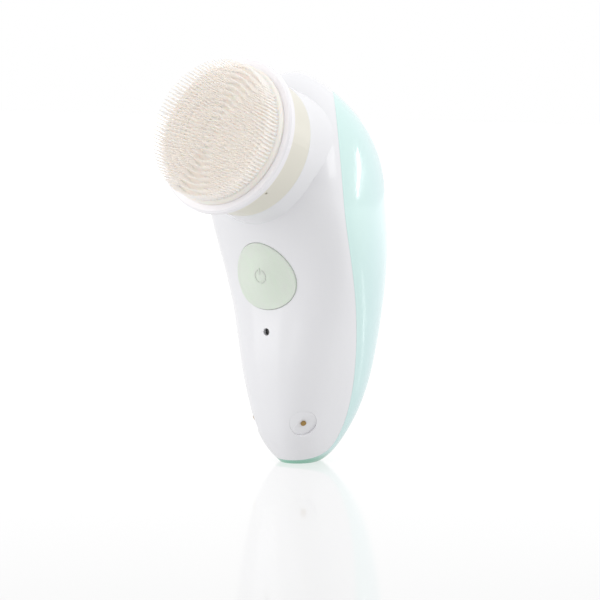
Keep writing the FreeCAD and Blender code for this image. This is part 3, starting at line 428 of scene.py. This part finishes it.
# Azimuth, elevation, cosine at which it starts and is complete, brightness inside.
DIM_SIDES = ((50.0, -8.0, 0.45, 0.97, 0.1), (-72.0, 0.0, 0.52, 0.97, 0.65))


def compass(azimuth, elevation, distance):
    """A place round the object: azimuth 0 is in front of the button, 90 on its right."""
    a = math.radians(azimuth)
    e = math.radians(elevation)
    return Vector((math.sin(a) * math.cos(e), -math.cos(a) * math.cos(e),
                   math.sin(e))) * distance


def floor():
    mesh = bpy.data.meshes.new("floor")
    s = FLOOR_HALF
    mesh.from_pydata([(-s, -s, 0), (s, -s, 0), (s, s, 0), (-s, s, 0)], [], [(0, 1, 2, 3)])
    obj = bpy.data.objects.new("floor", mesh)
    scene.collection.objects.link(obj)
    obj.location.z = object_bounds()[0].z - FLOOR_DROP
    material, _, shader = new_material("pale_floor")
    for socket, value in FLOOR_LOOK.items():
        shader.inputs[socket].default_value = value
    mesh.materials.append(material)
    obj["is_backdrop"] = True


def add_light(name, shape, width, height, power):
    light = bpy.data.lights.new(name, "AREA")
    light.shape = shape
    light.size = width
    light.size_y = height
    light.energy = power
    obj = bpy.data.objects.new(name, light)
    scene.collection.objects.link(obj)
    return obj


def aim(obj, place, target):
    """Put a light or camera at a place, looking at a target, with its own y upward."""
    obj.location = place
    obj.rotation_euler = (target - place).to_track_quat("-Z", "Y").to_euler()


def strip_light(name, bottom, top, target, width, power):
    """Tall narrow light with pointed ends, its long side running from bottom to top."""
    obj = add_light(name, "ELLIPSE", width, (top - bottom).length, power)
    along = (top - bottom).normalized()
    middle = (top + bottom) / 2.0
    backward = (middle - target).normalized()
    across = along.cross(backward).normalized()
    backward = across.cross(along)
    turn = Matrix((across, along, backward)).transposed()
    obj.matrix_world = Matrix.Translation(middle) @ turn.to_4x4()


def studio_world(dim_sides):
    """White studio all round, darker towards each of the dim sides."""
    world = bpy.data.worlds.new("studio")
    world.use_nodes = True
    tree = world.node_tree
    background = tree.nodes["Background"]
    coords = tree.nodes.new("ShaderNodeTexCoord")
    shades = []
    for azimuth, elevation, start, stop, level in dim_sides:
        dot = tree.nodes.new("ShaderNodeVectorMath")
        dot.operation = "DOT_PRODUCT"
        dot.inputs[1].default_value = compass(azimuth, elevation, 1.0)
        tree.links.new(coords.outputs["Generated"], dot.inputs[0])
        shades.append(map_range(tree, dot.outputs["Value"], start, stop, 1.0, level,
                                smooth=True))
    strength = shades[0]
    for shade in shades[1:]:
        product = tree.nodes.new("ShaderNodeMath")
        product.operation = "MULTIPLY"
        tree.links.new(strength, product.inputs[0])
        tree.links.new(shade, product.inputs[1])
        strength = product.outputs["Value"]
    background.inputs["Color"].default_value = (1.0, 1.0, 1.0, 1.0)
    tree.links.new(strength, background.inputs["Strength"])
    scene.world = world


floor()
strip_light("shoulder_strip", SHOULDER + compass(*STRIP_BOTTOM, STRIP_DISTANCE),
            SHOULDER + compass(*STRIP_TOP, STRIP_DISTANCE), SHOULDER, STRIP_WIDTH,
            STRIP_POWER)
for name, azimuth, elevation, width, height, power in AREA_LIGHTS:
    light = add_light(name, "RECTANGLE", width, height, power)
    aim(light, CENTRE + compass(azimuth, elevation, LIGHT_DISTANCE), CENTRE)
studio_world(DIM_SIDES)
scene.view_settings.view_transform = "Standard"


# ------------------------------------------------------------------ camera
VIEW_AZIMUTH = 37.5
VIEW_ELEVATION = 5.0
VIEW_DISTANCE = 0.9
AIM_DROP = 0.0133
LENS_MM = 154.6
SENSOR_MM = 36.0
CLIP_START = 0.01

camera_data = bpy.data.cameras.new("camera")
camera_data.lens = LENS_MM
camera_data.sensor_width = SENSOR_MM
camera_data.clip_start = CLIP_START
camera = bpy.data.objects.new("camera", camera_data)
aim(camera, CENTRE + compass(VIEW_AZIMUTH, VIEW_ELEVATION, VIEW_DISTANCE),
    CENTRE - Vector((0, 0, AIM_DROP)))
scene.collection.objects.link(camera)
scene.camera = camera
